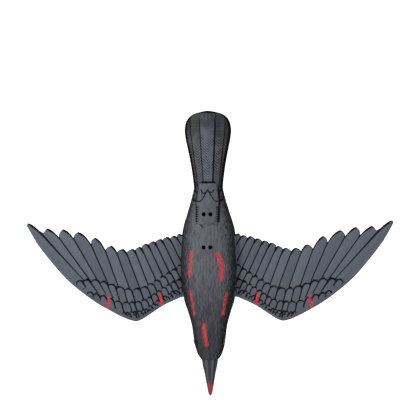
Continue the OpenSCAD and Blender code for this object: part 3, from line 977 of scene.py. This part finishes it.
def recessed_screws(node):
    """The CAD's pan-head screws with a cross recess cut into each head."""
    piece = copy_node(node)
    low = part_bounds(node)[0].z / MM
    points = points_of(piece)
    heads = points[points[:, 2] < low + 0.1]
    centres = []
    for p in heads:
        if all(np.hypot(*(p[:2] - c[:2])) > HEAD_ROOM for c in centres):
            near = heads[np.hypot(*(heads[:, :2] - p[:2]).T) < HEAD_ROOM]
            centres.append((near.min(0) + near.max(0)) / 2)
    for c in centres:
        for dx, dy in (RECESS, RECESS[::-1]):
            cut = box_object(
                (c[0] - dx, c[1] - dy, low - 1), (c[0] + dx, c[1] + dy, low + RECESS_DEEP),
            )
            piece = combine(piece, cut, "DIFFERENCE")
    piece.name = node + "_detailed"
    return piece


# ---------------- materials

class Shader:
    """A material's node tree with short calls for what the materials here share."""

    def __init__(self, name, roughness, specular, metallic=0.0):
        self.material = bpy.data.materials.new(name)
        self.material.use_nodes = True
        self.tree = self.material.node_tree
        self.bsdf = self.tree.nodes["Principled BSDF"]
        self.put("Roughness", roughness)
        self.put("Specular IOR Level", specular)
        self.put("Metallic", metallic)
        self.where = self.tree.nodes.new("ShaderNodeTexCoord").outputs["Object"]

    def link(self, source, socket):
        """Feeds a socket from another node, or sets it to a number or a colour."""
        if isinstance(source, (int, float)):
            socket.default_value = source
        elif isinstance(source, tuple):
            socket.default_value = (*source, 1.0)
        else:
            self.tree.links.new(source, socket)

    def put(self, name, source):
        self.link(source, self.bsdf.inputs[name])

    def field(self, name):
        node = self.tree.nodes.new("ShaderNodeAttribute")
        node.attribute_name = name
        return node.outputs["Fac"]

    def math(self, operation, a, b=0.0):
        node = self.tree.nodes.new("ShaderNodeMath")
        node.operation = operation
        self.link(a, node.inputs[0])
        self.link(b, node.inputs[1])
        return node.outputs[0]

    def add(self, a, b):
        return self.math("ADD", a, b)

    def times(self, a, b):
        return self.math("MULTIPLY", a, b)

    def ramp(self, value, low, high, to_low=0.0, to_high=1.0):
        """to_low below low, to_high above high, smooth between."""
        node = self.tree.nodes.new("ShaderNodeMapRange")
        node.interpolation_type = "SMOOTHSTEP"
        self.link(value, node.inputs["Value"])
        ends = {"From Min": low, "From Max": high, "To Min": to_low, "To Max": to_high}
        for name, number in ends.items():
            node.inputs[name].default_value = number
        return node.outputs["Result"]

    def mix(self, factor, a, b):
        """The colour a where the factor is 0 and b where it is 1."""
        node = self.tree.nodes.new("ShaderNodeMix")
        node.data_type = "RGBA"
        self.link(factor, node.inputs[0])
        self.link(a, node.inputs[6])
        self.link(b, node.inputs[7])
        return node.outputs[2]

    def noise(self, size_mm, stretch=(1, 1, 1), detail=3.0):
        """Noise whose grain is size_mm, longer along an axis with a larger stretch."""
        mapping = self.tree.nodes.new("ShaderNodeMapping")
        self.link(self.where, mapping.inputs["Vector"])
        mapping.inputs["Scale"].default_value = [1 / (size_mm * MM * s) for s in stretch]
        node = self.tree.nodes.new("ShaderNodeTexNoise")
        node.inputs["Scale"].default_value = 1.0
        node.inputs["Detail"].default_value = detail
        self.link(mapping.outputs["Vector"], node.inputs["Vector"])
        return node.outputs["Fac"]

    def rough_patches(self, size_mm, smoothest, roughest, stretch=(1, 1, 1)):
        """Roughness that wanders between two values."""
        patches = self.noise(size_mm, stretch)
        self.put("Roughness", self.ramp(patches, 0.3, 0.7, smoothest, roughest))

    def matt_where_dark(self, dusty, dark, gloss):
        """Dusty roughness, with hardly any gloss where the surface is darkened by ink and painted
        shade.
        """
        self.put("Roughness", self.math("MAXIMUM", dusty, dark))
        self.put("Specular IOR Level", self.ramp(dark, 0, 1, 0.2, gloss))

    def bump(self, height, strength, distance_mm):
        node = self.tree.nodes.new("ShaderNodeBump")
        node.inputs["Strength"].default_value = strength
        node.inputs["Distance"].default_value = distance_mm * MM
        self.link(height, node.inputs["Height"])
        self.put("Normal", node.outputs["Normal"])


RED = (0.60, 0.036, 0.042)
DEEP_RED = (0.32, 0.02, 0.024)
DULL_RED = (0.13, 0.03, 0.034)
# Near black, for dark lines that are partly ink and partly painted shade, and for the painted
# shade down the flanks and in the barbs' troughs
INK_AND_SHADE = (0.003, 0.003, 0.0035)


def put_colour(shader, colour, ink_and_shade, raggedness, red=RED):
    """The colour with its dark lines of ink and painted shade, and red brush strokes with ragged,
    streaky edges.
    """
    bristles = shader.math("SUBTRACT", shader.noise(1.1, (1, 9, 1), 4.0), 0.5)
    lumps = shader.math("SUBTRACT", shader.noise(2.6, (1, 1.6, 1), 2.0), 0.5)
    rag = shader.times(shader.add(bristles, lumps), raggedness)
    away = shader.add(shader.field("paint_mm"), rag)
    patch = shader.mix(shader.ramp(shader.noise(1.6, (1, 3, 1)), 0.38, 0.62), red, DEEP_RED)
    inked_and_shaded = shader.mix(ink_and_shade, colour, INK_AND_SHADE)
    shader.put("Base Color", shader.mix(shader.ramp(away, -2.1, 0.8, 0.97, 0.0), inked_and_shaded, patch))


def feather_material(name, dark, light, edge_width, barb_mm, barb_depth, wander):
    """Moulded plumage: each feather's own tone, edges darkened with ink and painted shade, barbs
    with painted shadow in their troughs, and a dusty sheen.
    """
    shader = Shader(name, 0.5, 0.2)
    patch = shader.noise(9, detail=5)
    mottled = shader.add(shader.times(shader.field("tone"), 0.5), shader.times(patch, 0.5))
    colour = shader.mix(shader.ramp(mottled, 0.1, 0.9), dark, light)
    # The barbs slant back from the quill, wander a little and are worn away in places
    slant = shader.times(shader.math("ABSOLUTE", shader.field("across_mm")), -1.0)
    phase = shader.times(shader.add(shader.field("along_mm"), slant), 2 * np.pi / barb_mm)
    barbs = shader.math("SINE", shader.add(phase, shader.times(shader.noise(4.0), wander)))
    worn = shader.ramp(shader.noise(11), 0.35, 0.65, 0.35, 1.0)
    shadow = shader.times(shader.ramp(barbs, -1.0, 0.6, barb_depth, 0.0), worn)
    colour = shader.mix(shadow, colour, INK_AND_SHADE)
    ink_and_shade = shader.ramp(shader.field("edge_mm"), edge_width * 0.7, edge_width * 1.35, 0.97, 0.0)
    put_colour(shader, colour, ink_and_shade, 3.0)
    dusty = shader.ramp(shader.noise(14, detail=4), 0.3, 0.7, 0.5, 0.66)
    shader.matt_where_dark(dusty, ink_and_shade, 0.02)
    grain = shader.times(shader.noise(0.6), 0.5)
    shader.bump(shader.add(shader.times(barbs, 0.5), grain), 0.4, 0.22)
    return shader.material


def body_material(name, dark, light):
    """Plumage of fine streaks, darkened down the flanks with painted shade, with creases darkened
    by ink and painted shade, and red strokes.
    """
    shader = Shader(name, 0.5, 0.2)
    streak = shader.noise(1.2, (1, 5.5, 1), 4.0)
    patch = shader.noise(13, (1, 1.6, 1), 4.0)
    level = shader.add(shader.times(streak, 0.6), shader.times(patch, 0.25))
    level = shader.add(level, shader.times(shader.field("tone"), 0.5))
    colour = shader.mix(shader.ramp(level, 0.25, 1.1), dark, light)
    # The painted shade down the flanks is broken up by the streaks
    broken = shader.times(shader.math("SUBTRACT", 0.5, streak), 0.7)
    flank_shade = shader.ramp(shader.add(shader.field("flank_shade"), broken), 0.48, 1.0, 0.0, 0.9)
    colour = shader.mix(flank_shade, colour, INK_AND_SHADE)
    ink_and_shade = shader.ramp(shader.field("edge_mm"), 0.4, 1.3, 0.95, 0.0)
    put_colour(shader, colour, ink_and_shade, 5.0)
    dusty = shader.ramp(patch, 0.3, 0.7, 0.5, 0.66)
    shader.matt_where_dark(dusty, shader.math("MAXIMUM", ink_and_shade, flank_shade), 0.04)
    shader.bump(shader.noise(0.5, (1, 4, 1)), 0.5, 0.3)
    return shader.material


def beak_material(name, dark, light):
    """Smoother plastic with fine lengthways scratches, sides darkened with painted shade and a
    dull red tip.
    """
    shader = Shader(name, 0.45, 0.22)
    scratches = shader.noise(0.7, (1, 12, 1), 4.0)
    level = shader.add(shader.times(scratches, 0.4), shader.field("tone"))
    colour = shader.mix(shader.ramp(level, 0.15, 0.75), dark, light)
    # The bill's sides are darkened with painted shade
    colour = shader.mix(shader.ramp(shader.field("flank_shade"), 0.5, 0.85, 0.0, 0.95), colour, INK_AND_SHADE)
    ink_and_shade = shader.ramp(shader.field("edge_mm"), 0.4, 1.5, 0.9, 0.0)
    put_colour(shader, colour, ink_and_shade, 3.0, DULL_RED)
    shader.rough_patches(5, 0.38, 0.5)
    shader.bump(scratches, 0.35, 0.2)
    return shader.material


def plain_plastic(name, colour):
    """Black moulded plastic with a fine spark-eroded grain and scuffs."""
    shader = Shader(name, 0.45, 0.4)
    scuff = shader.ramp(shader.noise(6, (1, 3, 1), 6.0), 0.55, 0.75, 0.0, 0.5)
    pale = tuple(3 * c for c in colour)
    shader.put("Base Color", shader.mix(scuff, colour, pale))
    shader.rough_patches(3, 0.35, 0.55)
    shader.bump(shader.noise(0.35), 0.3, 0.08)
    return shader.material


def zinc_steel(name):
    """Bright zinc plate with a faint yellow bloom, brushed and slightly spotted."""
    shader = Shader(name, 0.3, 0.5, 1.0)
    bloom = shader.ramp(shader.noise(4, detail=5), 0.35, 0.7)
    colour = shader.mix(bloom, (0.62, 0.63, 0.65), (0.50, 0.47, 0.40))
    spots = shader.ramp(shader.noise(0.8), 0.66, 0.74)
    shader.put("Base Color", shader.mix(spots, colour, (0.22, 0.2, 0.18)))
    shader.rough_patches(1.2, 0.22, 0.42, (1, 6, 1))
    shader.bump(shader.noise(0.3, (1, 8, 1)), 0.25, 0.04)
    return shader.material


def eye_plastic(name):
    """A polished black bead with smoky brown clouds in it."""
    shader = Shader(name, 0.22, 0.25)
    smoke = shader.ramp(shader.noise(1.5, detail=5), 0.4, 0.7)
    shader.put("Base Color", shader.mix(smoke, (0.006, 0.005, 0.005), (0.035, 0.016, 0.008)))
    shader.bump(shader.noise(1.0), 0.05, 0.05)
    return shader.material


# ---------------- the object

def build():
    """Makes every visible piece and gives the other CAD nodes their materials."""
    body_skin = body_material("body_plumage", (0.018, 0.018, 0.021), (0.082, 0.087, 0.103))
    beak_skin = beak_material("beak_horn", (0.02, 0.022, 0.026), (0.058, 0.063, 0.078))
    wing_skin = feather_material(
        "wing_plumage", (0.064, 0.074, 0.094), (0.088, 0.102, 0.128),
        edge_width=1.7, barb_mm=2.2, barb_depth=0.3, wander=3.0,
    )
    tail_skin = feather_material(
        "tail_plumage", (0.021, 0.022, 0.026), (0.104, 0.112, 0.138),
        edge_width=1.5, barb_mm=TAIL_BARB, barb_depth=0.98, wander=0.6,
    )
    metal = zinc_steel("zinc_steel")
    frame_skin = plain_plastic("frame_plastic", (0.018, 0.018, 0.02))
    bead = eye_plastic("eye_plastic")

    left = wing()
    right = mirror_copy(left, "right_wing_moulding")
    for piece, body in ((left, "left_wing"), (right, "right_wing")):
        finish_piece(piece, body, wing_skin, [body], 50)
    finish_piece(tail(), "body", tail_skin, ["tail_fan"], 50)
    for node, is_back in (("back_shell", True), ("belly_shell", False)):
        finish_piece(shell(node, is_back), "body", body_skin, [node], 45)
    finish_piece(beak(), "body", beak_skin, ["beak"], 45)
    for node in ("shell_screws", "tail_screws"):
        finish_piece(recessed_screws(node), "body", metal, [node], 30)

    slots = {s["node"]: s["material_slot"] for s in frame["record"]["subparts"]}
    skins = {"zinc_steel": metal, "frame_plastic": frame_skin, "eye_plastic": bead}
    for node, obj in frame["nodes"].items():
        if slots[node] in skins:
            obj.data.materials.clear()
            obj.data.materials.append(skins[slots[node]])


# ---------------- floor, light and camera

FLOOR_Z = -0.55
# The camera looks at a point of the parting plane and takes in this width there
VIEW_CENTRE = Vector((-0.0008, 0.0584, PART_Z * MM))
VIEW_WIDTH = 0.6225
VIEW_DISTANCE = 3.0
VIEW_LEAN = np.radians(5)
VIEW_ROLL = np.radians(-0.5)
LIGHT_AIM = Vector((0, 0, -0.03))
FLOOR_HALF = 6.0


def area_light(name, place, size, power):
    """A soft round light that shines at the object."""
    light = bpy.data.lights.new(name, "AREA")
    light.shape = "DISK"
    light.size = size
    light.energy = power
    obj = place_object(name, light)
    obj.location = place
    obj.rotation_euler = (LIGHT_AIM - obj.location).to_track_quat("-Z", "Y").to_euler()


def studio():
    """A plain pale floor well below the bird, three soft lights and a white surround."""
    corners = np.array([(-1, -1, 0), (1, -1, 0), (1, 1, 0), (-1, 1, 0)])
    floor = make_object("floor", corners * FLOOR_HALF / MM, [(0, 1, 2, 3)])
    floor.location.z = FLOOR_Z
    shader = Shader("floor_white", 0.9, 0.1)
    shader.put("Base Color", shader.mix(shader.noise(300), (0.9, 0.9, 0.9), (0.93, 0.93, 0.93)))
    shader.put("Emission Color", (1.0, 1.0, 1.0))
    shader.put("Emission Strength", 0.35)
    floor.data.materials.append(shader.material)

    area_light("key", (-1.5, 0.7, 1.8), 1.0, 44)
    area_light("fill", (1.6, -0.9, 1.8), 1.3, 14)
    area_light("top", (0.2, 1.9, 1.9), 1.0, 16)
    world = bpy.data.worlds.new("world")
    world.use_nodes = True
    background = world.node_tree.nodes["Background"]
    background.inputs["Color"].default_value = (1, 1, 1, 1)
    background.inputs["Strength"].default_value = 0.6
    bpy.context.scene.world = world
    bpy.context.scene.view_settings.view_transform = "Standard"


def camera():
    """Nearly straight above, a little from the bird's left, beak towards the bottom."""
    data = bpy.data.cameras.new("camera")
    data.sensor_width = 36
    data.lens = 36 * VIEW_DISTANCE / VIEW_WIDTH
    data.clip_end = 20
    obj = place_object("camera", data)
    aim = Matrix.Translation(VIEW_CENTRE)
    turn = Matrix.Rotation(VIEW_LEAN, 4, "Y") @ Matrix.Rotation(VIEW_ROLL, 4, "Z")
    obj.matrix_world = aim @ turn @ Matrix.Translation((0, 0, VIEW_DISTANCE))
    bpy.context.scene.camera = obj


camera()
studio()
build()
